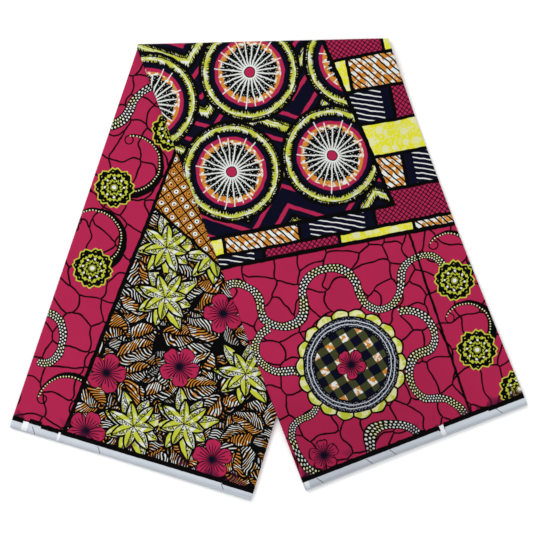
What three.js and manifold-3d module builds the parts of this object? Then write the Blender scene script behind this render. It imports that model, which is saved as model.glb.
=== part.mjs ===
// One length of printed wax cotton, folded into a long flat strip of sixteen layers.
// The strip is folded over once along its top edge, so that it lies as two spread legs:
// the under leg flat on the table, and the over leg lying on it near the top.
// Millimetres, +Z up, origin under the middle of the folded cloth.
import * as THREE from 'three';
import Module from 'manifold-3d';
import { mergeVertices } from 'three/addons/utils/BufferGeometryUtils.js';

const wasm = await Module();
wasm.setup();

// Plan of the folded cloth, seen from above. Angles are in degrees.
const TOP_EDGE = { x: -7.5, y: 310.8, length: 347, slope: 1.4 };
const UNDER_LEG = { length: 596.5, lean: 197.4, hemWidth: 340, hemSlope: -16.6, bow: 0 };
const OVER_LEG = { length: 585, lean: 159.35, hemWidth: 321, hemSlope: 20.9, bow: -4 };

// Thickness. A leg is sixteen layers, and the cloth that shows on it is built as one wall.
const STACK = 6;
const WALL = 1;
const GAP = 0.3;
const WIDE_NOSE = STACK / 2; // the folded side that wraps the whole stack
const NARROW_NOSE = STACK / 4; // the folded side that wraps its upper half
const INNER_TOP = STACK - WALL - GAP;
const LEAF_NOSE = 0.675; // the two lower folds on the narrow side

// Where the over leg comes down off the under leg's side onto the table.
const STEP_UP = STACK + GAP;
const RAMP_START = 2;
const RAMP_WIDTH = 46;
const RAMP_STEPS = 6;
const RAMP_CROWD = 0.004; // least distance between bends, as a share of the width
const SPRING_LENGTH = 120; // the top fold's spring holds the over leg up this far down

// How finely curves are cut.
const NOSE_STEPS = 6;
const TOP_FOLD_STEPS = 8;
const LEG_STEPS = 12;
const STEPS_TO_CROTCH = 9;
const STEPS_BELOW_CROTCH = 4;

// Ends of the hidden layers at a hem: height, thickness, and reach past the shown cloth at each side.
const HEM_INSET = 7;
const HEM_ROOT = 26;
const HEM_LEAVES = [
  { low: 0, high: 1, reachWide: 2.6, reachNarrow: 1.4, sideGap: 0.8 },
  { low: 1.2, high: 2.2, reachWide: 1.2, reachNarrow: 2.6, sideGap: 0.8 },
  { low: 2.4, high: 3.4, reachWide: 1.9, reachNarrow: 0.6, sideGap: 2.2 },
  { low: 3.6, high: 4.6, reachWide: 0.5, reachNarrow: 1.8, sideGap: 2.2 },
];

const PRINT = new THREE.MeshStandardMaterial({ color: 0xa82a4d, roughness: 0.72, metalness: 0 });
const EDGES = new THREE.MeshStandardMaterial({ color: 0x8c2743, roughness: 0.8, metalness: 0 });

const radians = THREE.MathUtils.degToRad;
const along = (degrees) => new THREE.Vector2(Math.cos(radians(degrees)), Math.sin(radians(degrees)));

const foldMiddle = new THREE.Vector2(TOP_EDGE.x, TOP_EDGE.y - STACK);
const foldAlong = along(TOP_EDGE.slope);
const foldOut = new THREE.Vector2(-foldAlong.y, foldAlong.x);

// A leg as the straight lines of its wide-nosed side and its narrow-nosed side, from top fold to hem.
function legPlan({ length, lean, hemWidth, hemSlope, bow }) {
  const down = new THREE.Vector2(Math.sin(radians(lean)), Math.cos(radians(lean)));
  const hemMiddle = foldMiddle.clone().addScaledVector(down, length);
  const across = along(hemSlope);
  return {
    length,
    bow,
    wideTop: foldMiddle.clone().addScaledVector(foldAlong, -TOP_EDGE.length / 2),
    narrowTop: foldMiddle.clone().addScaledVector(foldAlong, TOP_EDGE.length / 2),
    wideHem: hemMiddle.clone().addScaledVector(across, -hemWidth / 2),
    narrowHem: hemMiddle.clone().addScaledVector(across, hemWidth / 2),
  };
}

const underPlan = legPlan(UNDER_LEG);
const overPlan = legPlan(OVER_LEG);

// The two side points of a leg at a share of its length below the top fold.
function sidesAt(plan, share) {
  const wide = plan.wideTop.clone().lerp(plan.wideHem, share);
  const narrow = plan.narrowTop.clone().lerp(plan.narrowHem, share);
  const across = narrow.clone().sub(wide).normalize();
  narrow.addScaledVector(across, plan.bow * Math.sin(Math.PI * Math.min(share, 1)));
  return { wide, narrow, across, width: narrow.distanceTo(wide) };
}

// How far a plan point lies outside the under leg's narrow side.
const underSide = underPlan.narrowHem.clone().sub(underPlan.narrowTop).normalize();
const underSideOut = new THREE.Vector2(-underSide.y, underSide.x);
const outsideUnderLeg = (point) => point.clone().sub(underPlan.narrowTop).dot(underSideOut);

// Share of the over leg's length at which its wide side leaves the under leg.
const aboveCrotch = outsideUnderLeg(overPlan.wideTop);
const CROTCH_SHARE = aboveCrotch / (aboveCrotch - outsideUnderLeg(overPlan.wideHem));

// Height of the over leg's lower side: on the under leg, down the ramp, and flat on the table.
function overBase(point) {
  const belowFold = foldMiddle.clone().sub(point).dot(foldOut);
  const letDown = THREE.MathUtils.smoothstep(belowFold, 0, SPRING_LENGTH);
  const share = THREE.MathUtils.clamp((outsideUnderLeg(point) - RAMP_START) / RAMP_WIDTH, 0, 1);
  return STEP_UP * (1 - (letDown * (1 - Math.cos(Math.PI * share))) / 2);
}
const onTable = () => 0;

// Shares of the over leg's width where the ramp's bends cross it, kept apart and inside its sides.
function rampShares(share) {
  const { wide, narrow } = sidesAt(overPlan, share);
  const first = outsideUnderLeg(wide);
  const last = outsideUnderLeg(narrow);
  return Array.from({ length: RAMP_STEPS + 1 }, (_, k) => {
    const bend = RAMP_START + (k / RAMP_STEPS) * RAMP_WIDTH;
    const least = (k + 3) * RAMP_CROWD;
    const most = 1 - (RAMP_STEPS - k + 2) * RAMP_CROWD;
    return THREE.MathUtils.clamp((bend - first) / (last - first), least, most);
  });
}

// A point of a cross section: its share of the width, its distance from there, and its height.
const at = (share, offset, height) => ({ share, offset, height });

// Points round a nose, from one angle to another, in degrees.
function noseArc(share, centreOffset, centreHeight, radius, from, to) {
  return Array.from({ length: NOSE_STEPS + 1 }, (_, k) => {
    const angle = radians(from + ((to - from) * k) / NOSE_STEPS);
    return at(share, centreOffset + radius * Math.cos(angle), centreHeight + radius * Math.sin(angle));
  });
}

// The shown cloth: in round the narrow nose from below, across the top, and down round the wide nose.
function shownSection(shares) {
  const flat = (height) => shares.map((share) => at(share, 0, height));
  const narrowHeight = STACK - NARROW_NOSE;
  return [
    ...noseArc(1, -NARROW_NOSE, narrowHeight, NARROW_NOSE, -90, 90),
    ...flat(STACK).reverse(),
    ...noseArc(0, WIDE_NOSE, WIDE_NOSE, WIDE_NOSE, 90, 270),
    ...noseArc(0, WIDE_NOSE, WIDE_NOSE, WIDE_NOSE - WALL, 270, 90),
    ...flat(STACK - WALL),
    ...noseArc(1, -NARROW_NOSE, narrowHeight, NARROW_NOSE - WALL, 90, -90),
  ];
}

// The hidden layers inside it: flat below, two small folds low on the narrow side, rounded on the wide side.
function hiddenSection(shares) {
  const flat = (height) => shares.map((share) => at(share, 0, height));
  const lowSide = WIDE_NOSE + GAP;
  const upperSide = -(NARROW_NOSE + GAP);
  const upperFold = noseArc(1, -LEAF_NOSE, 3 * LEAF_NOSE, LEAF_NOSE, -90, 90);
  return [
    at(0, lowSide, 0),
    ...flat(0),
    ...noseArc(1, -LEAF_NOSE, LEAF_NOSE, LEAF_NOSE, -90, 90),
    ...upperFold.slice(1),
    at(1, upperSide, 4 * LEAF_NOSE),
    at(1, upperSide, INNER_TOP),
    ...flat(INNER_TOP).reverse(),
    ...noseArc(0, WIDE_NOSE, WIDE_NOSE, WIDE_NOSE - WALL - GAP, 90, 270),
    at(0, lowSide, WALL + GAP),
  ];
}

// A cross section set at a share of a leg's length, standing on the base height below each point.
function ringOnLeg(plan, share, section, base) {
  const { wide, across, width } = sidesAt(plan, share);
  return section.map((p) => {
    const place = wide.clone().addScaledVector(across, p.share * width + p.offset);
    return new THREE.Vector3(place.x, place.y, base(place) + p.height);
  });
}

// The same section carried round the top fold: half a turn at the table, a whole one on the over leg.
function ringRoundFold(turn, section) {
  const { wide, across, width } = sidesAt(overPlan, 0);
  return section.map((p) => {
    const radius = p.height + GAP / 2;
    const place = wide
      .clone()
      .addScaledVector(across, p.share * width + p.offset)
      .addScaledVector(foldOut, radius * Math.sin(turn));
    return new THREE.Vector3(place.x, place.y, STACK + GAP / 2 - radius * Math.cos(turn));
  });
}

// Two triangles for four corners, cut along the shorter diagonal, so that nested walls are cut alike.
function quad(points, a, b, c, d) {
  const cutFromA = points[a].distanceTo(points[c]) <= points[b].distanceTo(points[d]);
  return cutFromA ? [[a, b, c], [a, c, d]] : [[b, c, d], [b, d, a]];
}

// A closed body through a row of rings that all have the same points.
function loft(rings, section) {
  const count = section.length;
  const points = rings.flat();
  const contour = section.map((p) => new THREE.Vector2(p.share * TOP_EDGE.length + p.offset, p.height));
  const cap = THREE.ShapeUtils.triangulateShape(contour, []);
  const last = (rings.length - 1) * count;
  const faces = [];
  for (let ring = 0; ring < rings.length - 1; ring += 1) {
    for (let k = 0; k < count; k += 1) {
      const a = ring * count + k;
      const b = ring * count + ((k + 1) % count);
      faces.push(...quad(points, a, b, b + count, a + count));
    }
  }
  for (const [a, b, c] of cap) {
    faces.push([a, c, b], [last + a, last + b, last + c]);
  }
  const geometry = new THREE.BufferGeometry();
  const positions = points.flatMap((p) => [p.x, p.y, p.z]);
  geometry.setAttribute('position', new THREE.Float32BufferAttribute(positions, 3));
  geometry.setIndex(faces.flat());
  return facingOut(geometry);
}

// Turns a closed body's faces outwards if its volume comes out negative.
function facingOut(geometry) {
  const place = geometry.attributes.position;
  const index = geometry.index.array;
  const [a, b, c] = [new THREE.Vector3(), new THREE.Vector3(), new THREE.Vector3()];
  let volume = 0;
  for (let i = 0; i < index.length; i += 3) {
    a.fromBufferAttribute(place, index[i]);
    b.fromBufferAttribute(place, index[i + 1]);
    c.fromBufferAttribute(place, index[i + 2]);
    volume += a.dot(b.cross(c));
  }
  if (volume < 0) {
    geometry.setIndex(Array.from(index).reverse());
  }
  return geometry;
}

// Shares of a leg's length, evenly spaced between two of them.
function evenSteps(first, last, steps) {
  return Array.from({ length: steps + 1 }, (_, k) => first + ((last - first) * k) / steps);
}

const evenShares = [0.25, 0.5, 0.75];

function underLegBody(sectionOf, hemInset) {
  const section = sectionOf(evenShares);
  const shares = evenSteps(GAP / underPlan.length, 1 - hemInset / underPlan.length, LEG_STEPS);
  return loft(shares.map((share) => ringOnLeg(underPlan, share, section, onTable)), section);
}

function overLegBody(sectionOf, hemInset) {
  const topSection = sectionOf(rampShares(0));
  const turns = evenSteps(0, Math.PI, TOP_FOLD_STEPS).slice(0, -1);
  const shares = [
    ...evenSteps(0, CROTCH_SHARE, STEPS_TO_CROTCH),
    ...evenSteps(CROTCH_SHARE, 1 - hemInset / overPlan.length, STEPS_BELOW_CROTCH).slice(1),
  ];
  const rings = [
    ...turns.map((turn) => ringRoundFold(turn, topSection)),
    ...shares.map((share) => ringOnLeg(overPlan, share, sectionOf(rampShares(share)), overBase)),
  ];
  return loft(rings, topSection);
}

// One of the layer ends that show at a hem, rooted in the hidden layers behind it.
function hemLeaf(plan, leaf) {
  const root = sidesAt(plan, 1 - HEM_ROOT / plan.length);
  const hem = sidesAt(plan, 1);
  const outward = new THREE.Vector2(hem.across.y, -hem.across.x);
  const wideInset = WIDE_NOSE + 2 * GAP;
  const corners = [
    root.wide.clone().addScaledVector(root.across, wideInset),
    root.narrow.clone().addScaledVector(root.across, -leaf.sideGap),
    hem.narrow.clone().addScaledVector(hem.across, -leaf.sideGap).addScaledVector(outward, leaf.reachNarrow),
    hem.wide.clone().addScaledVector(hem.across, wideInset).addScaledVector(outward, leaf.reachWide),
  ];
  const geometry = new THREE.ExtrudeGeometry(new THREE.Shape(corners), {
    depth: leaf.high - leaf.low,
    bevelEnabled: false,
  });
  return geometry.translate(0, 0, leaf.low);
}

function toManifold(geometry) {
  const bare = geometry.clone();
  bare.deleteAttribute('normal');
  bare.deleteAttribute('uv');
  const merged = mergeVertices(bare, 1e-4);
  return new wasm.Manifold(
    new wasm.Mesh({
      numProp: 3,
      vertProperties: new Float32Array(merged.attributes.position.array),
      triVerts: new Uint32Array(merged.index.array),
    }),
  );
}

function withHemLeaves(body, plan) {
  let solid = toManifold(body);
  for (const leaf of HEM_LEAVES) {
    solid = solid.add(toManifold(hemLeaf(plan, leaf)));
  }
  const mesh = solid.getMesh();
  const geometry = new THREE.BufferGeometry();
  geometry.setAttribute('position', new THREE.Float32BufferAttribute(mesh.vertProperties, 3));
  geometry.setIndex(Array.from(mesh.triVerts));
  return geometry;
}

function namedMesh(name, geometry, material) {
  const mesh = new THREE.Mesh(geometry, material);
  mesh.name = name;
  return mesh;
}

const cloth = new THREE.Group();
cloth.add(
  namedMesh('under_leg_face', underLegBody(shownSection, 0), PRINT),
  namedMesh('under_leg_layers', withHemLeaves(underLegBody(hiddenSection, HEM_INSET), underPlan), EDGES),
  namedMesh('over_leg_face', overLegBody(shownSection, 0), PRINT),
  namedMesh('over_leg_layers', withHemLeaves(overLegBody(hiddenSection, HEM_INSET), overPlan), EDGES),
);

export default cloth;
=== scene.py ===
import math

import bmesh
import bpy
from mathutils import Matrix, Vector


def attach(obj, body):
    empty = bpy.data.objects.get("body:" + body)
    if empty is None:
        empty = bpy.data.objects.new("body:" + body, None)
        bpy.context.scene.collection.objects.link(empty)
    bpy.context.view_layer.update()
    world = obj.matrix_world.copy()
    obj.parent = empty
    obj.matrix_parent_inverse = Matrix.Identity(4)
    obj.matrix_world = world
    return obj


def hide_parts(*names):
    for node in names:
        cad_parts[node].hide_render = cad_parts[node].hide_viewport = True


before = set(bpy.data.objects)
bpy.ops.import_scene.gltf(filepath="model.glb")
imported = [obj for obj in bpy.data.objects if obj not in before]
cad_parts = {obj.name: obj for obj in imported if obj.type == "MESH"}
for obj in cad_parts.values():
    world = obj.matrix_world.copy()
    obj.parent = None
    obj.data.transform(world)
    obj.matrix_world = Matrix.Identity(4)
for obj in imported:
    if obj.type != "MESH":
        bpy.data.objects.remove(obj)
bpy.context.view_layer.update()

# Plan of the folded cloth, seen from above, in metres and degrees
TOP_EDGE = {"x": -0.0075, "y": 0.3108, "length": 0.347, "slope": 1.4}
UNDER_LEG = {"length": 0.5965, "lean": 197.4, "hem_width": 0.340, "hem_slope": -16.6, "bow": 0.0}
OVER_LEG = {"length": 0.5850, "lean": 159.35, "hem_width": 0.321, "hem_slope": 20.9, "bow": -0.004}

# Thickness of the stack of layers, of the cloth, and half of the space left inside the top fold
STACK = 0.006
LAYERS = 16
PITCH = STACK / LAYERS
CLOTH = 0.00028
CREASE = 0.00015

# Where the over leg comes down off the under leg's side onto the table, and how soon below the fold
RAMP_START = 0.002
RAMP_WIDTH = 0.046
SPRING_LENGTH = 0.120

# Waves in the stack's thickness: share of it, radians a metre along x and y, and start
SWELLS = [(0.05, 17, 9, 0.7), (0.04, -11, 23, 2.1), (0.03, 31, -19, 4.0)]
SETTLE_LENGTH = 0.09  # they reach their full height this far below the top fold

# The cloth is folded in half lengthways four times, each time over or under itself
FOLDS = ("over", "over", "under", "over")

# How far each fold between two panels slipped past the hem line, from one cut end to the other
FOLD_SLIPS = [0.0008, -0.0014, 0.0010, -0.0006, 0.0016, 0.0002, -0.0008, 0.0019, -0.0012,
              0.0014, -0.0004, 0.0021, -0.0017, 0.0006, 0.0017, -0.0010, 0.0004]

# How far each folded edge on the narrow side lies back from the outermost one, and the cut ends
NARROW_SETBACKS = {2: 0.0, 4: 0.0004, 6: 0.0006, 8: 0.0011, 10: 0.0002, 12: 0.0007, 14: 0.0004}
CUT_ENDS_BACK = 0.0013

# Soft creases left by storage: place across and along a leg in shares, direction, length, width, height
CREASES = [
    {"across": 0.50, "along": 0.16, "turn": 4, "length": 0.150, "width": 0.013, "rise": 0.0006},
    {"across": 0.22, "along": 0.47, "turn": -38, "length": 0.090, "width": 0.016, "rise": -0.0004},
    {"across": 0.71, "along": 0.55, "turn": 24, "length": 0.110, "width": 0.014, "rise": 0.0005},
    {"across": 0.40, "along": 0.74, "turn": 9, "length": 0.120, "width": 0.018, "rise": -0.0004},
    {"across": 0.80, "along": 0.90, "turn": -52, "length": 0.070, "width": 0.012, "rise": 0.0005},
    {"across": 0.12, "along": 0.93, "turn": 41, "length": 0.060, "width": 0.011, "rise": 0.0004},
]
CREASE_MARGIN = 0.03  # they fade out this near to a leg's sides

# Grid of a face, and of the margins of the layers between, at the hem and along the narrow side
ROWS = 96
FLAT_STEPS = 60
NOSE_STEPS = 12
FOLD_ROWS = 12
HEM_STEPS = 24
HEM_ROWS = 7
SIDE_STEPS = 4
SIDE_START = 0.94

# The scene is in metres, and the print on the flat cloth is in millimetres
TO_MILLIMETRES = 1000

# Camera and studio
CAMERA_DISTANCE = 2.0
CAMERA_TILT = math.radians(5.0)
AIM = Vector((-0.003, 0.0006, 0.0))
VIEW_WIDTH = 0.7253
SENSOR = 36.0
KEY_LIGHT = {"place": (-1.1, 1.0, 1.9), "size": 1.6, "power": 26.0}
SKY_STRENGTH = 0.95
FLOOR = {"half_width": 3.0, "drop": 0.0001, "grey": 0.95, "roughness": 0.9}

# How much brighter than full the light is, and how the dry cloth takes it
DAYLIGHT = 1.12
COTTON_ROUGHNESS = 0.62
HIGHLIGHT = 0.03


def from_screen(red, green, blue):
    """The dye of a colour given as it looks in that light, from 0 to 255."""

    def light(level):
        share = level / 255
        return share / 12.92 if share <= 0.04045 else ((share + 0.055) / 1.055) ** 2.4

    return tuple(light(level) / DAYLIGHT for level in (red, green, blue))


MAGENTA = from_screen(167, 34, 74)
LIME = from_screen(184, 190, 58)
YELLOW = from_screen(214, 212, 48)
PALE_YELLOW = from_screen(214, 214, 160)
OCHRE = from_screen(196, 128, 46)
OLIVE = from_screen(58, 62, 34)
DEEP_PURPLE = from_screen(58, 12, 42)
NAVY = from_screen(5, 7, 28)
BLACK = from_screen(3, 2, 3)
WHITE = from_screen(217, 220, 215)
SELVEDGE_WHITE = from_screen(203, 209, 217)
SELVEDGE_SHADE = from_screen(176, 186, 198)
BRIGHT_WHITE = from_screen(236, 239, 243)


def stacked_panels(folds):
    """The panels' order in the stack from the bottom up, once the strip is folded in half these ways."""
    columns = [[panel] for panel in range(2 ** len(folds))]
    for fold in folds:
        half = len(columns) // 2
        turned = [column[::-1] for column in columns[:half - 1:-1]]
        pairs = zip(columns[:half], turned)
        columns = [left + right if fold == "over" else right + left for left, right in pairs]
    return columns[0]


PANELS = stacked_panels(FOLDS)
BOTTOM, TOP = 0, LAYERS - 1


def along(degrees):
    """A step of 1 in this direction, counted counter-clockwise from x."""
    return Vector((math.cos(math.radians(degrees)), math.sin(math.radians(degrees))))


def smoothstep(value, low, high):
    """Rises smoothly from 0 at low to 1 at high."""
    share = min(max((value - low) / (high - low), 0.0), 1.0)
    return share * share * (3 - 2 * share)


fold_middle = Vector((TOP_EDGE["x"], TOP_EDGE["y"] - STACK))
fold_along = along(TOP_EDGE["slope"])
fold_out = Vector((-fold_along.y, fold_along.x))


def leg_plan(leg):
    """A leg's two side lines from the top fold to the hem, and its own directions across and down."""
    down = Vector((math.sin(math.radians(leg["lean"])), math.cos(math.radians(leg["lean"]))))
    hem_middle = fold_middle + down * leg["length"]
    hem_across = along(leg["hem_slope"])
    return {
        "length": leg["length"],
        "bow": leg["bow"],
        "wide_top": fold_middle - fold_along * TOP_EDGE["length"] / 2,
        "narrow_top": fold_middle + fold_along * TOP_EDGE["length"] / 2,
        "wide_hem": hem_middle - hem_across * leg["hem_width"] / 2,
        "narrow_hem": hem_middle + hem_across * leg["hem_width"] / 2,
        "across": hem_across,
        "up": Vector((-hem_across.y, hem_across.x)),
    }


UNDER = leg_plan(UNDER_LEG)
OVER = leg_plan(OVER_LEG)


def sides_at(plan, share):
    """A leg's wide side point, the direction across it and its width, at a share of its length down."""
    wide = plan["wide_top"].lerp(plan["wide_hem"], share)
    narrow = plan["narrow_top"].lerp(plan["narrow_hem"], share)
    across = (narrow - wide).normalized()
    narrow = narrow + across * plan["bow"] * math.sin(math.pi * min(share, 1.0))
    return wide, across, (narrow - wide).length


under_side = (UNDER["narrow_hem"] - UNDER["narrow_top"]).normalized()
under_side_out = Vector((-under_side.y, under_side.x))


def swell(point):
    """How much thicker the soft stack is here than at its folds."""
    uneven = sum(height * math.sin(x * point.x + y * point.y + start) for height, x, y, start in SWELLS)
    below_fold = (fold_middle - point).dot(fold_out)
    return 1 + uneven * smoothstep(below_fold, 0.0, SETTLE_LENGTH)


def over_base(point):
    """Height of the over leg's lower side: on the under leg, down its side, and flat on the table."""
    step_up = STACK * swell(point) + 2 * CREASE
    outside = (point - UNDER["narrow_top"]).dot(under_side_out)
    let_down = smoothstep((fold_middle - point).dot(fold_out), 0.0, SPRING_LENGTH)
    share = min(max((outside - RAMP_START) / RAMP_WIDTH, 0.0), 1.0)
    return step_up * (1 - let_down * (1 - math.cos(math.pi * share)) / 2)


def crease_rise(plan, point):
    """Height that the creases add on top of a leg at this point."""
    rise = 0.0
    for crease in CREASES:
        wide, across, width = sides_at(plan, crease["along"])
        offset = point - (wide + across * width * crease["across"])
        direction = along(crease["turn"])
        lengthways = offset.dot(direction) / crease["length"]
        crossways = offset.dot(Vector((-direction.y, direction.x))) / crease["width"]
        rise += crease["rise"] * math.exp(-crossways * crossways - (2 * lengthways) ** 2)
    return rise


def layer_height(place):
    return (place + 0.5) * PITCH


def put(plan, share, inset, height):
    """A point of a leg: share of its length, distance in from its wide side, height before it is turned."""
    wide, across, width = sides_at(plan, share)
    spot = wide + across * inset
    loose = crease_rise(plan, spot) * smoothstep(min(inset, width - inset), 0.0, CREASE_MARGIN)
    if plan is OVER:
        lift = over_base(spot) + height * swell(spot) + loose * height / STACK
    else:
        lift = (STACK - height) * swell(spot) + loose * (1 - height / STACK)
    return Vector((spot.x, spot.y, lift))


def put_round_fold(turn, inset, height):
    """The same on the top fold, whose half turn is counted from 0 on the over leg to 1 on the under leg."""
    wide, across = sides_at(OVER, 0.0)[:2]
    radius = height + CREASE
    spot = wide + across * inset + fold_out * radius * math.sin(math.pi * turn)
    return Vector((spot.x, spot.y, STACK + CREASE + radius * math.cos(math.pi * turn)))


def unrolled(plan, share, inset, past_fold):
    """Place on the flat cloth, in millimetres: across from the leg's wide side, and up from its hem."""
    wide, across = sides_at(plan, share)[:2]
    spot = wide + across * inset + fold_out * past_fold - plan["wide_hem"]
    return (spot.dot(plan["across"]) * TO_MILLIMETRES, spot.dot(plan["up"]) * TO_MILLIMETRES)


def nose_centre(place, side):
    """Distance in from a leg's side of the centre of a layer's folded edge, or of its cut end."""
    panel = PANELS[place]
    if side == "wide":
        return STACK / 2
    fold = panel + 1 if panel % 2 else panel
    if fold in (0, LAYERS):
        return CUT_ENDS_BACK
    # The widest folded edge is eight layers thick in the stack's upper half, and four in its lower half
    thickest = LAYERS // 2 if place >= LAYERS // 2 else LAYERS // 4
    return thickest * PITCH / 2 + NARROW_SETBACKS[fold]


def joined_to(place, side):
    """The place of the layer that this one turns into on one side, or None at a cut end."""
    panel = PANELS[place]
    neighbour = panel + (1 if (panel % 2) == (side == "narrow") else -1)
    return PANELS.index(neighbour) if neighbour in range(LAYERS) else None


def nose_radius(place, side):
    """Radius of the folded edge that a layer turns into on one side, less than 0 where it turns down."""
    other = joined_to(place, side)
    return 0.0 if other is None else (layer_height(other) - layer_height(place)) / 2


def shared_turn(place, side):
    """A layer's half of a folded edge, or 0 at a cut end and where an outer layer makes the whole of it."""
    return 0.0 if joined_to(place, side) in (None, BOTTOM, TOP) else 0.5


def slip(place, share):
    """How far a layer reaches past the hem line, at this share of the way across."""
    panel = PANELS[place]
    wide_fold = panel if panel % 2 else panel + 1
    narrow_fold = panel + 1 if panel % 2 else panel
    return FOLD_SLIPS[wide_fold] * (1 - share) + FOLD_SLIPS[narrow_fold] * share


def across_path(place, wide_turn, narrow_turn, steps=FLAT_STEPS, start=0.0):
    """Steps across one layer from this share of the way, with these shares of the turns at its sides."""
    height = layer_height(place)
    path = []

    def turn_round(side, share):
        radius = nose_radius(place, side)
        out = abs(radius) * math.sin(math.pi * share)
        arc = abs(radius) * math.pi * share
        rise = radius * (1 - math.cos(math.pi * share))
        centre = nose_centre(place, side)
        if side == "wide":
            return {"inset": lambda width: centre - out, "cloth": lambda width: centre - arc,
                    "height": height + rise, "share": 0.0}
        return {"inset": lambda width: width - centre + out, "cloth": lambda width: width - centre + arc,
                "height": height + rise, "share": 1.0}

    def flat(share):
        wide, narrow = nose_centre(place, "wide"), nose_centre(place, "narrow")

        def inset(width):
            return wide + share * (width - narrow - wide)

        return {"inset": inset, "cloth": inset, "height": height, "share": share}

    path += [turn_round("wide", k / NOSE_STEPS) for k in range(round(wide_turn * NOSE_STEPS), 0, -1)]
    path += [flat(start + (1 - start) * k / steps) for k in range(steps + 1)]
    path += [turn_round("narrow", k / NOSE_STEPS) for k in range(1, round(narrow_turn * NOSE_STEPS) + 1)]
    return path


def lay_cloth(bm, plan, place, path, first_row=0, last_row=ROWS, fold_rows=0):
    """Lays cloth along a leg between two rows counted up from its hem, and then round the top fold."""
    columns, rows = len(path) - 1, last_row - first_row + fold_rows
    grid = bmesh.ops.create_grid(bm, x_segments=columns, y_segments=rows, size=0.5)["verts"]
    cloth_map = bm.loops.layers.uv.verify()
    on_cloth = {}
    for vert in grid:
        step = path[round((vert.co.x + 0.5) * columns)]
        row = first_row + round((vert.co.y + 0.5) * rows)
        turn = (row - last_row) / fold_rows if row > last_row else 0.0
        # A layer that slipped past one leg's hem falls as far short of the other's
        past_hem = slip(place, step["share"]) * (1 if plan is OVER else -1)
        hem_share = 1 + past_hem / plan["length"]
        share = hem_share * (1 - min(row, last_row) / ROWS)
        width = sides_at(plan, share)[2]
        past_fold = turn * math.pi * step["height"]
        on_cloth[vert] = unrolled(plan, share, step["cloth"](width), past_fold)
        if turn:
            vert.co = put_round_fold(turn, step["inset"](width), step["height"])
        else:
            vert.co = put(plan, share, step["inset"](width), step["height"])
    for face in {face for vert in grid for face in vert.link_faces}:
        for loop in face.loops:
            loop[cloth_map].uv = on_cloth[loop.vert]


def cloth_piece(name, build, material, stands_for=()):
    """A piece of cloth. build() lays its mesh, and a modifier thickens it."""
    bm = bmesh.new()
    build(bm)
    bmesh.ops.recalc_face_normals(bm, faces=bm.faces)
    mesh = bpy.data.meshes.new(name)
    bm.to_mesh(mesh)
    bm.free()
    mesh.shade_smooth()
    mesh.uv_layers[0].name = "cloth"
    piece = bpy.data.objects.new(name, mesh)
    bpy.context.scene.collection.objects.link(piece)
    mesh.materials.append(material)
    thicken = piece.modifiers.new("thickness", "SOLIDIFY")
    thicken.thickness = CLOTH
    thicken.offset = 0.0
    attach(piece, "root")
    if stands_for:
        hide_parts(*stands_for)


# Print: woven edge, dark line above it, softness of outlines, and spacing of the threads
SELVEDGE = 9.5
BORDER = 6.5
SOFT = 0.45
WEAVE = 0.9

# Half circles of beads on the over leg: across from its wide side, up from its hem, radius, degrees
OVER_CHAINS = [
    (0, 256, 32, 80), (63, 245, 32, -100), (126, 234, 32, 80), (189, 223, 32, -100), (252, 212, 32, 80),
    (206, 150, 30, 0), (206, 90, 30, 180), (206, 30, 30, 0),
    (34, 186, 34, 180), (34, 118, 34, 0), (34, 50, 34, 180), (128, 10, 34, 90),
]

# Other places on the over leg: across, up and degrees turned, or the two ends of a line
OVER_RULE = ((243, 0), (256, 272))
OVER_CURLS = [(284, 92, 0), (290, 190, 350)]
OVER_CURL_RADIUS = 33
OVER_ROSETTES = [(284, 92, 20), (290, 190, 200), (318, 22, 0)]
OVER_FLOWERS = [(118, 134, 40), (40, 34, 10)]
OVER_FLOWER_SIZE = 20
MEDALLION = (118, 134, 12)
MEDALLION_ZOOM = 1 / 0.82
BLOCKS_SLANT = 10
BLOCKS_LOW_EDGE = ((0, 318), (322, 262))
BLOCKS_NEAR_EDGE = ((252, 262), (236, 700))
SUNS_LOW_EDGE = ((0, 360), (322, 304))
SUNS = [(60, 436, 0), (196, 408, 8), (132, 556, 4), (-12, 566, 0), (272, 522, 0)]
PATCH_LINE = 3.0

# Along its woven edge: ticks, steps of the dark line (start, rise), bright white patches (start, end, top)
OVER_EDGE = {
    "ticks": [26, 97, 131, 285],
    "steps": [(196, 1.4), (205, -2.6), (268, 1.6)],
    "bright_patches": [(198, 204, 15), (2, 8, 9)],
}

# The same on the under leg
UNDER_CHAINS = [(70, 470, 36, 90), (-2, 470, 36, -90), (120, 400, 34, 0), (6, 120, 34, 0), (6, 188, 34, 180)]
UNDER_CURLS = [(44, 236, 15), (40, 350, 340), (96, 24, 50)]
UNDER_CURL_RADIUS = 40
UNDER_ROSETTES = [(44, 236, 0), (40, 350, 15), (92, 446, 0)]
UNDER_FLOWERS = [(196, 142, 0), (274, 36, 30), (104, 106, 12), (232, 228, 50), (190, 385, 20), (100, 24, 0)]
UNDER_FLOWER_SIZE = 27
WHORLS = [(132, 292, 0), (150, 226, 20), (196, 300, 40), (160, 48, 10), (224, 70, 0), (284, 158, 30)]
LEAF_BED_EDGE = ((128, 700), (72, 0))
LEAF_BED_LINE = 2.8
NET_EDGE = ((120, 330), (322, 236))
NET_LINE = 2.0
UNDER_EDGE = {
    "ticks": [36, 128, 301],
    "steps": [(17, 1.2), (24, -3.6), (41, 2.4), (296, 1.6)],
    "bright_patches": [(16, 24, 13), (66, 69, 12)],
}

# Leaf bed from the bottom up: cell size, breadth, seed. Whorls: leaf length, count, turn in radians
LOWEST_LEAVES = (31, 0.50, 1)
LOWEST_SHADE = 0.35
UPPER_LEAVES = [(40, 0.38, 3), (48, 0.34, 2)]
WHORL_LEAVES = [(50, 8, 0.39), (38, 7, 0.0)]


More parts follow.
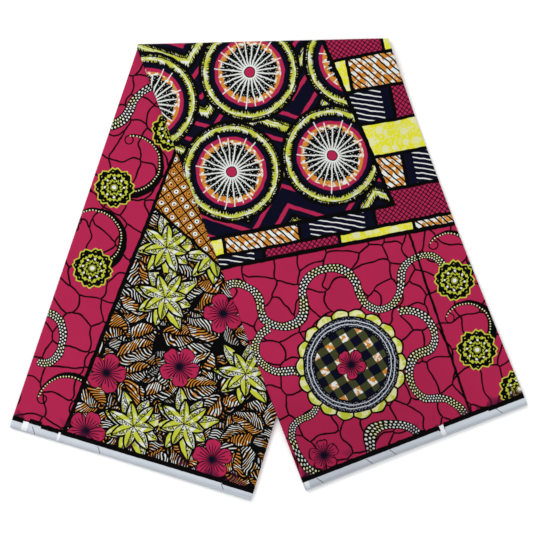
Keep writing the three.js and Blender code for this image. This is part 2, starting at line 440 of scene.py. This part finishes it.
class Field:
    """A number, point or colour that varies over a material, with arithmetic on numbers."""

    def __init__(self, paint, socket):
        self.paint = paint
        self.socket = socket

    def __add__(self, other):
        return self.paint.maths("ADD", self, other)

    __radd__ = __add__

    def __sub__(self, other):
        return self.paint.maths("SUBTRACT", self, other)

    def __rsub__(self, other):
        return self.paint.maths("SUBTRACT", other, self)

    def __mul__(self, other):
        return self.paint.maths("MULTIPLY", self, other)

    def __truediv__(self, other):
        return self.paint.maths("DIVIDE", self, other)

    def __mod__(self, other):
        return self.paint.maths("FLOORED_MODULO", self, other)

    def __pow__(self, other):
        return self.paint.maths("POWER", self, other)

    def __abs__(self):
        return self.paint.maths("ABSOLUTE", self)

    def floor(self):
        return self.paint.maths("FLOOR", self)

    def sine(self):
        return self.paint.maths("SINE", self)

    def to_and_fro(self, length):
        """Rises from 0 to this length and falls back, over and over."""
        return self.paint.maths("PINGPONG", self, length)

    def least(self, other):
        return self.paint.maths("MINIMUM", self, other)

    def most(self, other):
        return self.paint.maths("MAXIMUM", self, other)

    def below(self, edge, soft=SOFT):
        """1 where this is less than the edge and 0 where it is more, with a soft step between."""
        if isinstance(edge, Field):
            return self.paint.maths("MULTIPLY_ADD", edge - self, 1 / soft, 0.5, clamp=True)
        return self.paint.maths("MULTIPLY_ADD", self, -1 / soft, edge / soft + 0.5, clamp=True)

    def above(self, edge, soft=SOFT):
        """1 where this is more than the edge and 0 where it is less, with a soft step between."""
        return self.paint.maths("MULTIPLY_ADD", self, 1 / soft, 0.5 - edge / soft, clamp=True)


class Paint:
    """Adds the nodes of one material. Lengths in a print are millimetres on the flat cloth."""

    def __init__(self, name, roughness):
        self.material = bpy.data.materials.new(name)
        self.material.use_nodes = True
        self.tree = self.material.node_tree
        self.shader = self.tree.nodes["Principled BSDF"]
        self.shader.inputs["Roughness"].default_value = roughness
        self.shader.inputs["Specular IOR Level"].default_value = HIGHLIGHT

    def feed(self, socket, value):
        if isinstance(value, Field):
            self.tree.links.new(value.socket, socket)
        elif socket.type == "RGBA":
            socket.default_value = (*value, 1.0)
        else:
            socket.default_value = value

    def node(self, kind, settings, values, output=0):
        """A node of this type: its settings are set first, and then its sockets' values or links."""
        made = self.tree.nodes.new("ShaderNode" + kind)
        for name, setting in settings.items():
            setattr(made, name, setting)
        for key, value in values.items():
            self.feed(made.inputs[key], value)
        return Field(self, made.outputs[output])

    def other_output(self, field, output):
        return Field(self, field.socket.node.outputs[output])

    def maths(self, operation, *values, clamp=False):
        return self.node("Math", {"operation": operation, "use_clamp": clamp}, dict(enumerate(values)))

    def vector(self, operation, *values, output="Vector"):
        return self.node("VectorMath", {"operation": operation}, dict(enumerate(values)), output)

    def scaled(self, point, scale):
        return self.node("VectorMath", {"operation": "SCALE"}, {"Vector": point, "Scale": scale})

    def mix(self, mask, colour, other):
        """The first colour where the mask is 0, and the other where it is 1."""
        return self.node("Mix", {"data_type": "RGBA"}, {0: mask, 6: colour, 7: other}, 2)

    def choose(self, mask, point, other):
        """The first point where the mask is 0, and the other where it is 1."""
        return self.node("Mix", {"data_type": "VECTOR"}, {0: mask, 4: point, 5: other}, 1)

    def split(self, point):
        """A point's distances across and up."""
        across = self.node("SeparateXYZ", {}, {0: point}, 0)
        return across, self.other_output(across, 1)

    def third(self, point):
        return self.node("SeparateXYZ", {}, {0: point}, 2)

    def join(self, across, up):
        return self.node("CombineXYZ", {}, {0: across, 1: up})

    def flattened(self, point):
        return self.vector("MULTIPLY", point, (1.0, 1.0, 0.0))

    def length(self, point):
        return self.vector("LENGTH", point, output="Value")

    def distance(self, point, place):
        return self.vector("DISTANCE", point, (place[0], place[1], 0.0), output="Value")

    def angle(self, point):
        across, up = self.split(point)
        return self.maths("ARCTAN2", up, across)

    def turned(self, point, turn):
        """The point turned counter-clockwise by this many radians."""
        return self.node("VectorRotate", {"rotation_type": "Z_AXIS"}, {"Vector": point, "Angle": turn})

    def chance(self, number):
        """A share from 0 to 1 that looks random, for each whole number."""
        return self.node("TexWhiteNoise", {"noise_dimensions": "1D"}, {"W": number})

    def noise(self, point, size, detail=1.0, seed=0.0, output="Fac"):
        """Cloudy noise about 0.5, with clouds of this size."""
        moved = self.vector("MULTIPLY_ADD", point, (1 / size,) * 3, (seed * 7.3, seed * 3.1, seed))
        return self.node("TexNoise", {}, {"Vector": moved, "Scale": 1.0, "Detail": detail}, output)

    def pushed(self, point, reach, noise):
        """The point pushed across and up, by this reach where the noise's colour is full."""
        return self.vector("MULTIPLY_ADD", noise, (reach, reach, 0.0), point)

    def cells(self, point, size, feature="F1", randomness=1.0, output="Distance"):
        """Scattered cells of about this size. Distances are shares of the size."""
        settings = {"voronoi_dimensions": "2D", "feature": feature}
        values = {"Vector": point, "Scale": 1 / size, "Randomness": randomness}
        return self.node("TexVoronoi", settings, values, output)

    def chance_of(self, cells):
        """A share from 0 to 1 that looks random, for each of the cells."""
        return self.node("SeparateColor", {}, {0: self.other_output(cells, 1)})

    def beyond(self, point, edge):
        """Distance to the left of the line between the edge's two ends, less than 0 on its right."""
        start, end = edge
        direction = (Vector(end) - Vector(start)).normalized()
        left = (-direction.y, direction.x, 0.0)
        offset = left[0] * start[0] + left[1] * start[1]
        return self.vector("DOT_PRODUCT", point, left, output="Value") - offset

    def closest_of(self, places):
        """The closest of the places, each given with its distance, and how far away it is."""
        chosen, closest = places[0]
        for place, distance in places[1:]:
            nearer = self.maths("LESS_THAN", distance, closest)
            chosen = self.choose(nearer, chosen, place)
            closest = closest.least(distance)
        return chosen, closest

    def nearest(self, point, places):
        """The point as seen from the nearest of the places: across, up, degrees each is turned."""
        places = [(across, up, math.radians(degrees)) for across, up, degrees in places]
        chosen = self.closest_of([(place, self.distance(point, place)) for place in places])[0]
        offset = self.vector("SUBTRACT", point, chosen)
        return self.turned(self.flattened(offset), self.third(offset))


def crackle_ground(paint, point):
    """Magenta with a net of curved dark veins, equally wide although the cells are bent."""
    cell, vein, nudge, least_stretch = 36, 1.2, 0.05, 0.25
    broad, broad_reach, fine, fine_reach = 80, 50.0, 27, 22.0

    def edge_distance(spot):
        bent = paint.pushed(spot, broad_reach, paint.noise(spot, broad, 0.0, 0, "Color"))
        bent = paint.pushed(bent, fine_reach, paint.noise(spot, fine, 0.0, 11, "Color"))
        return paint.cells(bent, cell, "DISTANCE_TO_EDGE", 0.55) * cell

    edge = edge_distance(point)
    across = edge_distance(paint.vector("ADD", point, (nudge, 0.0, 0.0))) - edge
    up = edge_distance(paint.vector("ADD", point, (0.0, nudge, 0.0))) - edge
    stretch = paint.length(paint.join(across, up)) / nudge
    return paint.mix((edge / stretch.most(least_stretch)).below(vein, 0.6), MAGENTA, BLACK)


def bead_chains(paint, point, colour, arcs):
    """Triple rows of beads on dark cords, along half circles: across, up, radius, degrees each faces."""
    sway, far, cord, rows = 36.0, 1000.0, 6.1, 5.0
    row_gap, bead_gap, bead_radius = 3.6, 4.6, 1.2
    bent = paint.pushed(point, sway, paint.noise(point, 90, 0.0, 12, "Color"))
    bent = paint.vector("SUBTRACT", bent, (sway / 2, sway / 2, 0.0))
    circles = []
    for across, up, radius, degrees in arcs:
        facing = along(degrees)
        ahead = paint.vector("DOT_PRODUCT", bent, (facing.x, facing.y, 0.0), output="Value")
        hidden = paint.maths("LESS_THAN", ahead, facing.x * across + facing.y * up)
        aside = abs(paint.distance(bent, (across, up)) - radius)
        circles.append(((across, up, radius), paint.maths("MULTIPLY_ADD", hidden, far, aside)))
    chosen, closest = paint.closest_of(circles)
    local = paint.flattened(paint.vector("SUBTRACT", bent, chosen))
    radius = paint.third(chosen)
    lengthways = paint.angle(local) * radius
    outwards = paint.length(local) - radius
    row = paint.maths("ROUND", outwards / row_gap)
    along_row = (lengthways + row * (bead_gap / 2)) % bead_gap - bead_gap / 2
    bead = paint.length(paint.join(along_row, outwards - row * row_gap))
    colour = paint.mix(abs(outwards).below(cord) * closest.below(far / 10), colour, BLACK)
    beads = paint.mix(paint.noise(point, 22).above(0.50, 0.15), WHITE, PALE_YELLOW)
    return paint.mix(bead.below(bead_radius) * abs(outwards).below(rows), colour, beads)


def rosette(paint, colour, local):
    """A dark rosette: lobed lime outlines within each other, lime leaves and white dots between."""
    size, lobes, lobe_depth, wave = 27.0, 8, 16, 1.5
    ring_radii, dot_ring, dot_radius, eye = (17.5, 9.0), 13.2, 1.5, 3.0
    radius, angle = paint.length(local), paint.angle(local)
    lobe = angle.to_and_fro(math.pi / lobes)
    edge = radius + abs(lobe - 0.13) * lobe_depth - size
    colour = paint.mix(edge.below(1.3), colour, LIME)
    colour = paint.mix(edge.below(-0.6), colour, BLACK)
    waved = radius + (lobe * 16).sine() * wave
    leaves = (angle * lobes + (radius * 0.30).sine() * 2.2).sine() * (radius * 0.46).sine()
    colour = paint.mix(abs(leaves).above(0.60, 0.12) * edge.below(-3.5), colour, LIME)
    for ring in ring_radii:
        colour = paint.mix(abs(waved - ring).below(0.7), colour, LIME)
        colour = paint.mix(abs(waved - ring - 2.3).below(0.8), colour, BLACK)
    dots = paint.length(paint.join(lobe * dot_ring, radius - dot_ring))
    colour = paint.mix(dots.below(dot_radius), colour, WHITE)
    return paint.mix(radius.below(eye), colour, WHITE)


def curl(paint, colour, local, radius):
    """A dark dotted tail that leaves a rosette, thins round a curve and ends in a small ring."""
    sweep, thick, taper, dot_gap, dot_radius = 3.9, 8.5, 7.2, 4.2, 1.0
    ring_radius, ring_line = 6.0, 0.9
    offset = paint.vector("SUBTRACT", local, (0.0, radius, 0.0))
    turn = (paint.angle(offset) + math.pi / 2) % (2 * math.pi)
    outwards = paint.length(offset) - radius
    share = turn / sweep
    thickness = thick - share * taper
    tail = abs(outwards).below(thickness) * share.below(1.0, 0.01)
    along_tail = turn * radius % dot_gap - dot_gap / 2
    dots = paint.length(paint.join(along_tail, outwards + thickness * 0.45))
    tip = along(math.degrees(sweep) - 90) * (radius - ring_radius)
    ring = abs(paint.distance(local, (tip.x, radius + tip.y)) - ring_radius).below(ring_line)
    colour = paint.mix(tail.most(ring), colour, BLACK)
    return paint.mix(dots.below(dot_radius) * tail, colour, PALE_YELLOW)


def feathered(paint, distance, lengthways, half_width):
    """A lime band: white streaks along its middle, dark hatching in from both edges, a dark outline."""
    strokes = paint.noise(paint.join(lengthways * 0.9, distance * 0.13), 1.0, 1.0)
    streaks = paint.noise(paint.join(lengthways * 0.05, distance * 0.4), 1.0, 2.0)
    edge_share = abs(distance) / half_width
    band = paint.mix(streaks.above(0.55, 0.10), LIME, WHITE)
    band = paint.mix((strokes + edge_share * 0.66).above(0.74, 0.10), band, BLACK)
    band = paint.mix(abs(distance - half_width * 0.35).below(0.7), band, BLACK)
    return paint.mix(abs(abs(distance) - half_width).below(1.1), band, BLACK)


def sun_roundels(paint, colour, point, places):
    """Round suns: white rays on a specked dark disc, in ochre, magenta, navy and feathered lime rings."""
    ochre_ring, magenta_ring, navy_ring, disc_edge = 47.0, 43, 48, 53
    band_middle, band_half, rays, short_ray, ray_spread = 61, 8.5, 24, 37, 17
    hub, hub_line, hub_middle = 9.5, 7.6, 6.4
    local = paint.nearest(point, places)
    radius, angle = paint.length(local), paint.angle(local)
    band = feathered(paint, radius - band_middle, angle * band_middle, band_half)
    colour = paint.mix(radius.below(band_middle + band_half + 1), colour, band)
    blotched = paint.mix(paint.noise(local, 7, 3.0).above(0.56, 0.05), OCHRE, WHITE)
    specked = paint.mix(paint.cells(local, 3.8).below(0.13, 0.06), BLACK, WHITE)
    ragged = radius + paint.noise(paint.join(angle * 7, radius * 0.08), 1.0, 2.0, 3) * 20
    disc = paint.mix(ragged.above(ochre_ring, 1.5), specked, blotched)
    disc = paint.mix(radius.above(magenta_ring), disc, MAGENTA)
    disc = paint.mix(radius.above(navy_ring), disc, NAVY)
    index = paint.maths("ROUND", angle * (rays / (2 * math.pi)))
    reach = paint.chance(index) * ray_spread + short_ray
    sideways = angle.to_and_fro(math.pi / rays) * radius
    ray = sideways.below(1.15 - radius * 0.010, 0.7) * radius.below(reach)
    disc = paint.mix(ray.most(radius.below(hub)), disc, WHITE)
    disc = paint.mix(radius.below(hub_line), disc, BLACK)
    disc = paint.mix(radius.below(hub_middle), disc, MAGENTA)
    return paint.mix(radius.below(disc_edge), colour, disc)


def chevrons(paint, point):
    """Navy with feathered lime zigzag bands and thin magenta ones."""
    run, pitch, slope, squareness = 58, 76, 0.8, 0.78
    band_half, line_middle, line_half = 10.0, 18, 2.6
    across, up = paint.split(point)
    distance = ((up + across.to_and_fro(run) * slope) % pitch - pitch / 2) * squareness
    colour = paint.mix(abs(abs(distance) - line_middle).below(line_half), NAVY, MAGENTA)
    return paint.mix(abs(distance).below(band_half), colour, feathered(paint, distance, across, band_half))


def bubbled_yellow(paint, point):
    """Yellow with pale round bubbles and mottling, as wax leaves them."""
    bubble, speck, mottle = 16, 4.6, 16
    bubbles = paint.cells(point, bubble)
    round_ones = bubbles.below(paint.chance_of(bubbles) * 0.32 + 0.08, 0.05)
    specks = paint.cells(point, speck).below(0.22, 0.1)
    mottled = paint.noise(point, mottle, 2.0).above(0.60, 0.08)
    pale = round_ones.most(specks).most(mottled * 0.7)
    return paint.mix(pale, YELLOW, PALE_YELLOW)


def blocks(paint, point, degrees):
    """Courses of blocks with dark joints: bubbled yellow, hatched ochre, navy stripes, magenta net."""
    height, length, offset, joint, end_joint = 47, 104, 51, 21.0, 49.6
    hatch_gap, stripe_gap, net_gap = 8.4, 7.2, 7
    across, up = paint.split(paint.turned(point, math.radians(degrees)))
    course = (up / height).floor()
    shifted = across + course * offset
    from_middle_up = (up % height) - height / 2
    from_middle = (shifted % length) - length / 2
    ochre = paint.mix(paint.noise(point, 8, 3.0, 5).above(0.51, 0.05), OCHRE, WHITE)
    hatch = abs((shifted + up * 0.8) % hatch_gap - hatch_gap / 2).below(1.3)
    ochre = paint.mix(hatch, ochre, BLACK)
    stripes = abs((up + shifted * 0.35) % stripe_gap - stripe_gap / 2).below(0.8)
    striped = paint.mix(stripes * abs(from_middle).below(38), NAVY, WHITE)
    rising = abs((shifted + up) % net_gap - net_gap / 2).below(0.9)
    falling = abs((shifted - up) % net_gap - net_gap / 2).below(0.9)
    netted = paint.mix(rising.most(falling), MAGENTA, NAVY)
    kind = (course * 2 + (shifted / length).floor()) % 4
    colour = bubbled_yellow(paint, point)
    for number, other in enumerate((ochre, striped, netted), 1):
        colour = paint.mix(kind.above(number - 0.5, 0.01), colour, other)
    seams = abs(from_middle_up).above(joint).most(abs(from_middle).above(end_joint))
    return paint.mix(seams, colour, BLACK)


def five_petals(paint, colour, local, size):
    """A magenta flower with five round petals, dark veins from its middle and a dark outline."""
    petals, veins = 5, 24
    radius, angle = paint.length(local), paint.angle(local)
    petal = angle.to_and_fro(math.pi / petals) / (math.pi / petals)
    crinkle = paint.noise(local, 5, 1.0) * 3.2 - 1.6
    edge = radius + petal ** 3.2 * (size * 0.42) + crinkle - size
    throat = paint.noise(paint.join(angle * 7, radius * 0.1), 1.0, 1.0, 2) * size * 1.3 + size * 0.1
    vein = (angle.to_and_fro(math.pi / veins) * radius).below(0.66, 0.6) * radius.below(throat, 2.0)
    flower = paint.mix(vein, MAGENTA, NAVY)
    flower = paint.mix(petal.above(0.955, 0.03) * radius.below(size * 0.7), flower, BLACK)
    colour = paint.mix(edge.below(1.1), colour, BLACK)
    return paint.mix(edge.below(-0.7), colour, flower)


def leaf_whorls(paint, colour, point, places, length, count, turn):
    """Whorls of pointed lime leaves, each with a stippled pale half, a dark midrib and a dark outline."""
    local = paint.nearest(point, places)
    radius, angle = paint.length(local), paint.angle(local) + turn
    index = paint.maths("ROUND", angle * (count / (2 * math.pi)))
    leaf_length = paint.chance(index + places[0][0]) * (length * 0.35) + length * 0.72
    sideways = angle.to_and_fro(math.pi / count).sine() * radius
    share = radius / leaf_length
    half_width = ((share * math.pi).sine()) ** 0.85 * (length * 0.175)
    edge = half_width - sideways
    pale_half = (angle * count).sine().above(0.0, 0.1)
    stipple = paint.cells(local, 2.0).below(0.46, 0.2) * pale_half * edge.above(1.2)
    tone = paint.noise(local, 9, 1.0) + pale_half * 0.10
    leaf = paint.mix(tone.above(0.58, 0.10), LIME, WHITE)
    leaf = paint.mix(stipple, leaf, OLIVE)
    leaf = paint.mix(sideways.below(0.55), leaf, BLACK)
    colour = paint.mix(edge.above(-2.6) * share.below(1.08, 0.01), colour, BLACK)
    return paint.mix(edge.above(0.5) * share.below(0.98, 0.01), colour, leaf)


def leaf_litter(paint, point, colour, size, breadth, seed):
    """Ochre and white leaves with dark veins, thrown every way, each in its own cell of this size."""
    vein_gap, vein_half, midrib = 4.8, 1.62, 1.1
    bent = paint.pushed(point, size * 0.4, paint.noise(point, size * 0.6, 1.0, seed, "Color"))
    moved = paint.vector("ADD", bent, (seed * 131.0, seed * 57.0, 0.0))
    centre = paint.cells(moved, size, output="Position")
    chance = paint.chance_of(centre)
    kind = paint.other_output(chance, 1)
    local = paint.turned(paint.vector("SUBTRACT", moved, centre), chance * (2 * math.pi))
    lengthways, sideways = paint.split(local)
    pale_half = sideways.above(0.0, 0.3)
    sideways = abs(sideways)
    edge = size * breadth - lengthways * lengthways / (size * 1.05) - sideways
    vein = abs((lengthways + sideways ** 1.25 * 0.55) % vein_gap - vein_gap / 2)
    tone = paint.noise(point, 7, 2.0, seed + 1) + kind * 0.14 + pale_half * 0.12
    leaf = paint.mix((tone + sideways * (0.5 / size)).above(0.70, 0.06), OCHRE, WHITE)
    leaf = paint.mix(vein.below(vein_half + pale_half * 0.3 - sideways * 0.035, 0.6), leaf, BLACK)
    leaf = paint.mix(sideways.below(midrib), leaf, BLACK)
    rim = edge.least(paint.cells(moved, size, "DISTANCE_TO_EDGE") * size)
    colour = paint.mix(edge.above(-2.2), colour, BLACK)
    return paint.mix(rim.above(1.1), colour, leaf)


def check_medallion(paint, colour, local):
    """A round medallion: ochre and white checks, a navy ring with white lines, a scalloped lime edge."""
    scallop_ring, scallops, scallop_depth = 57, 9, 4.2
    ring_edge, ring_line, line_middle, check_edge = 53.5, 46.5, 2.0, 41.5
    check, bar = 19, 4.1
    radius, angle = paint.length(local), paint.angle(local)
    edge = radius - scallop_ring - abs((angle * scallops).sine()) * scallop_depth
    petals = paint.mix(paint.noise(local, 8, 2.0).above(0.5, 0.08), LIME, PALE_YELLOW)
    creases = angle.to_and_fro(math.pi / (2 * scallops)).below(0.02, 0.012)
    petals = paint.mix(creases, petals, BLACK)
    colour = paint.mix(edge.below(1.4), colour, BLACK)
    colour = paint.mix(edge.below(-0.8), colour, petals)
    colour = paint.mix(radius.below(ring_edge), colour, BLACK)
    specked = paint.mix(paint.cells(local, 2.2).below(0.24, 0.2) * 0.4, NAVY, SELVEDGE_WHITE)
    lines = abs(abs(radius - ring_line) - line_middle).below(0.45)
    colour = paint.mix(radius.below(ring_edge - 1.5), colour, paint.mix(lines, specked, SELVEDGE_WHITE))
    colour = paint.mix(radius.below(check_edge), colour, BLACK)
    across, up = (abs(way % check - check / 2).above(bar) for way in paint.split(local))
    blotched = paint.mix(paint.noise(local, 6, 3.0).above(0.5, 0.05), OCHRE, WHITE)
    checks = paint.mix(across.most(up), blotched, OLIVE)
    checks = paint.mix(across * up, checks, NAVY)
    return paint.mix(radius.below(check_edge - 1.5), colour, checks)


def ring_net(paint, point):
    """Ochre with a slanted dark net, and a white ring in each mesh."""
    slant, mesh, cord = math.radians(38), 12.4, 5.2
    ring_outside, ring, ring_inside = 4.3, 3.5, 1.2
    across, up = (way % mesh - mesh / 2 for way in paint.split(paint.turned(point, slant)))
    radius = paint.length(paint.join(across, up))
    toned = paint.mix(paint.noise(point, 14, 2.0).above(0.5, 0.06), OCHRE, WHITE)
    colour = paint.mix(abs(across).most(abs(up)).above(cord), OCHRE, BLACK)
    colour = paint.mix(radius.below(ring_outside), colour, BLACK)
    colour = paint.mix(radius.below(ring), colour, toned)
    return paint.mix(radius.below(ring_inside), colour, BLACK)


def patch(paint, colour, inside, other, line):
    """Lays the other colour where inside is more than 0, with a dark line round it."""
    colour = paint.mix(inside.above(0.0), colour, other)
    return paint.mix(abs(inside).below(line), colour, BLACK)


def selvedge(paint, colour, flat, ticks=(), steps=(), bright_patches=()):
    """The pale woven edge along the hem, its ticks and bright white patches, and the line and stains above
    it.
    """
    ragged_by, stain_top, tick_top, rib = 3.6, 24, 9.0, 4.1
    across, up = paint.split(flat)
    height = up
    for start, rise in steps:
        height = height + paint.maths("GREATER_THAN", across, start) * rise
    ragged = paint.noise(flat, 7, 2.0, 4) * ragged_by - ragged_by / 2
    stained = paint.noise(flat, 24, 2.0, 9).above(0.56, 0.06) * up.below(stain_top, 16)
    colour = paint.mix(stained * 0.8, colour, DEEP_PURPLE)
    colour = paint.mix((height + ragged).below(SELVEDGE + BORDER), colour, BLACK)
    ribs = (up * rib).sine() * 0.05 + paint.noise(flat, 22, 2.0, 6) * 0.25
    cloth = paint.mix(ribs, SELVEDGE_WHITE, SELVEDGE_SHADE)
    slanted = across + up * 0.7
    for tick in ticks:
        cloth = paint.mix(abs(slanted - tick).below(0.5) * up.below(tick_top), cloth, OLIVE)
    colour = paint.mix((height + ragged * 0.25).below(SELVEDGE), colour, cloth)
    # Bright white patches, brighter than the woven edge, from the hem up to their tops
    for start, end, top in bright_patches:
        bright_patch = (abs(across - (start + end) / 2) + ragged * 0.4).below((end - start) / 2)
        colour = paint.mix(bright_patch * (up + ragged).below(top), colour, BRIGHT_WHITE)
    return colour


def finish(paint, colour, flat, painted_shade=0.0):
    """Dyed cotton: slightly uneven colour, painted shade where asked, and the threads of a plain weave."""
    # Random uneven tone of the cotton, plus the painted shade passed in
    uneven = paint.noise(flat, 50, 3.0, 8) * 0.18 - 0.06 + painted_shade
    colour = paint.mix(uneven, colour, BLACK)
    paint.feed(paint.shader.inputs["Base Color"], colour)
    across, up = ((way * (2 * math.pi / WEAVE)).sine() for way in paint.split(flat))
    bump = paint.node("Bump", {}, {"Strength": 0.25, "Distance": 0.0002, "Height": across * up})
    paint.feed(paint.shader.inputs["Normal"], bump)
    return paint.material


def start_print(name):
    """A new cotton material, its place on the flat cloth, and the same slightly unsteady."""
    shake = 3.0
    paint = Paint(name, COTTON_ROUGHNESS)
    flat = paint.node("UVMap", {"uv_map": "cloth"}, {})
    shaken = paint.pushed(flat, shake, paint.noise(flat, 13, 1.0, 7, "Color"))
    return paint, flat, paint.vector("SUBTRACT", shaken, (shake / 2, shake / 2, 0.0))


def sun_print():
    """The length that shows on the over leg: suns at its top, a band of blocks, a medallion on crackle."""
    paint, flat, point = start_print("sun_print")
    colour = crackle_ground(paint, point)
    colour = bead_chains(paint, point, colour, OVER_CHAINS)
    colour = paint.mix(abs(paint.beyond(point, OVER_RULE)).below(1.7), colour, BLACK)
    for place in OVER_CURLS:
        colour = curl(paint, colour, paint.nearest(point, [place]), OVER_CURL_RADIUS)
    colour = rosette(paint, colour, paint.nearest(point, OVER_ROSETTES))
    local = paint.scaled(paint.nearest(point, [MEDALLION]), 1 / MEDALLION_ZOOM)
    colour = check_medallion(paint, colour, local)
    colour = five_petals(paint, colour, paint.nearest(point, OVER_FLOWERS), OVER_FLOWER_SIZE)
    courses = blocks(paint, point, BLOCKS_SLANT)
    colour = patch(paint, colour, paint.beyond(point, BLOCKS_LOW_EDGE), courses, PATCH_LINE)
    suns = sun_roundels(paint, chevrons(paint, point), point, SUNS)
    inside = paint.beyond(point, SUNS_LOW_EDGE).least(paint.beyond(point, BLOCKS_NEAR_EDGE))
    colour = patch(paint, colour, inside, suns, PATCH_LINE)
    colour = selvedge(paint, colour, flat, **OVER_EDGE)
    across, up = paint.split(flat)
    # Painted shade: the over leg darker towards its hem and its wide side, where the light falls off
    painted_shade_near_hem = up.below(110, 120) * across.below(210, 160)
    return finish(paint, colour, flat, painted_shade_near_hem * 0.2)


def leaf_print():
    """The length that shows on the under leg: a bed of leaves and flowers beside crackle with rosettes."""
    paint, flat, point = start_print("leaf_print")
    colour = crackle_ground(paint, point)
    colour = bead_chains(paint, point, colour, UNDER_CHAINS)
    for place in UNDER_CURLS:
        colour = curl(paint, colour, paint.nearest(point, [place]), UNDER_CURL_RADIUS)
    colour = rosette(paint, colour, paint.nearest(point, UNDER_ROSETTES))
    bed = paint.mix(LOWEST_SHADE, leaf_litter(paint, point, BLACK, *LOWEST_LEAVES), BLACK)
    for leaves in UPPER_LEAVES:
        bed = leaf_litter(paint, point, bed, *leaves)
    for leaves in WHORL_LEAVES:
        bed = leaf_whorls(paint, bed, point, WHORLS, *leaves)
    bed = five_petals(paint, bed, paint.nearest(point, UNDER_FLOWERS), UNDER_FLOWER_SIZE)
    inside = paint.beyond(point, LEAF_BED_EDGE)
    colour = patch(paint, colour, inside, bed, LEAF_BED_LINE)
    above_net = paint.beyond(point, NET_EDGE)
    colour = patch(paint, colour, above_net.least(inside), ring_net(paint, point), NET_LINE)
    colour = selvedge(paint, colour, flat, **UNDER_EDGE)
    return finish(paint, colour, flat)


def layer_print():
    """The ends of the layers under the top one: woven edge, dark line, and magenta crackle."""
    paint, flat, point = start_print("layer_print")
    return finish(paint, selvedge(paint, crackle_ground(paint, point), flat), flat)


def shown_face(bm, plan, place, fold_rows):
    """The layer that shows, round its folded edge on the wide side and the one on the narrow side."""
    lay_cloth(bm, plan, place, across_path(place, 1.0, 1.0), fold_rows=fold_rows)


def underside(bm, plan, place, fold_rows):
    """The layer on the other face of a leg, round its folded edge on the narrow side."""
    lay_cloth(bm, plan, place, across_path(place, 0.0, 1.0), fold_rows=fold_rows)


def hem_layers(bm, plan):
    """The ends at the hem of the layers between, each with its folded edges."""
    for place in range(BOTTOM + 1, TOP):
        path = across_path(place, shared_turn(place, "wide"), shared_turn(place, "narrow"), HEM_STEPS)
        lay_cloth(bm, plan, place, path, 0, HEM_ROWS)


def side_layers(bm, plan, fold_rows):
    """The folded edges and cut ends of the layers between, along the narrow side."""
    for place in range(BOTTOM + 1, TOP):
        path = across_path(place, 0.0, shared_turn(place, "narrow"), SIDE_STEPS, SIDE_START)
        lay_cloth(bm, plan, place, path, HEM_ROWS, ROWS, fold_rows)


sun_cotton, leaf_cotton, layer_cotton = sun_print(), leaf_print(), layer_print()

cloth_piece("under_leg_underside", lambda bm: underside(bm, UNDER, TOP, 0), sun_cotton)
cloth_piece("under_leg_hem_layers", lambda bm: hem_layers(bm, UNDER), layer_cotton,
            ["under_leg_layers"])
cloth_piece("under_leg_side_layers", lambda bm: side_layers(bm, UNDER, 0), layer_cotton)
cloth_piece("under_leg_top", lambda bm: shown_face(bm, UNDER, BOTTOM, 0), leaf_cotton,
            ["under_leg_face"])
cloth_piece("over_leg_underside", lambda bm: underside(bm, OVER, BOTTOM, FOLD_ROWS), leaf_cotton)
cloth_piece("over_leg_hem_layers", lambda bm: hem_layers(bm, OVER), layer_cotton,
            ["over_leg_layers"])
cloth_piece("over_leg_side_layers", lambda bm: side_layers(bm, OVER, FOLD_ROWS), layer_cotton)
cloth_piece("over_leg_top", lambda bm: shown_face(bm, OVER, TOP, FOLD_ROWS), sun_cotton,
            ["over_leg_face"])


def floor():
    """A pale floor, just under the cloth."""
    bm = bmesh.new()
    bmesh.ops.create_grid(bm, x_segments=1, y_segments=1, size=FLOOR["half_width"])
    mesh = bpy.data.meshes.new("floor")
    bm.to_mesh(mesh)
    bm.free()
    made = bpy.data.objects.new("floor", mesh)
    made.location.z = -FLOOR["drop"]
    bpy.context.scene.collection.objects.link(made)
    paint = Paint("pale_floor", FLOOR["roughness"])
    paint.feed(paint.shader.inputs["Base Color"], (FLOOR["grey"],) * 3)
    mesh.materials.append(paint.material)


def soft_light(name, place, size, power):
    """A round lamp aimed at the middle of the cloth."""
    data = bpy.data.lights.new(name, "AREA")
    data.shape = "DISK"
    data.size = size
    data.energy = power
    made = bpy.data.objects.new(name, data)
    made.location = place
    made.rotation_euler = (-Vector(place)).to_track_quat("-Z", "Y").to_euler()
    bpy.context.scene.collection.objects.link(made)


def studio():
    """White light from all round, and one soft lamp for a faint shadow."""
    world = bpy.data.worlds.new("studio")
    world.use_nodes = True
    background = world.node_tree.nodes["Background"]
    background.inputs["Color"].default_value = (1, 1, 1, 1)
    background.inputs["Strength"].default_value = SKY_STRENGTH
    bpy.context.scene.world = world
    soft_light("key_light", KEY_LIGHT["place"], KEY_LIGHT["size"], KEY_LIGHT["power"])


def camera():
    """Looks almost straight down at the cloth, from a little in front of it."""
    data = bpy.data.cameras.new("camera")
    data.sensor_width = SENSOR
    data.lens = SENSOR * CAMERA_DISTANCE / VIEW_WIDTH
    made = bpy.data.objects.new("camera", data)
    back = Vector((0, -math.sin(CAMERA_TILT), math.cos(CAMERA_TILT)))
    made.location = AIM + back * CAMERA_DISTANCE
    made.rotation_euler = (CAMERA_TILT, 0, 0)
    bpy.context.scene.collection.objects.link(made)
    bpy.context.scene.camera = made
    bpy.context.scene.view_settings.view_transform = "Standard"


floor()
studio()
camera()
bpy.context.view_layer.update()
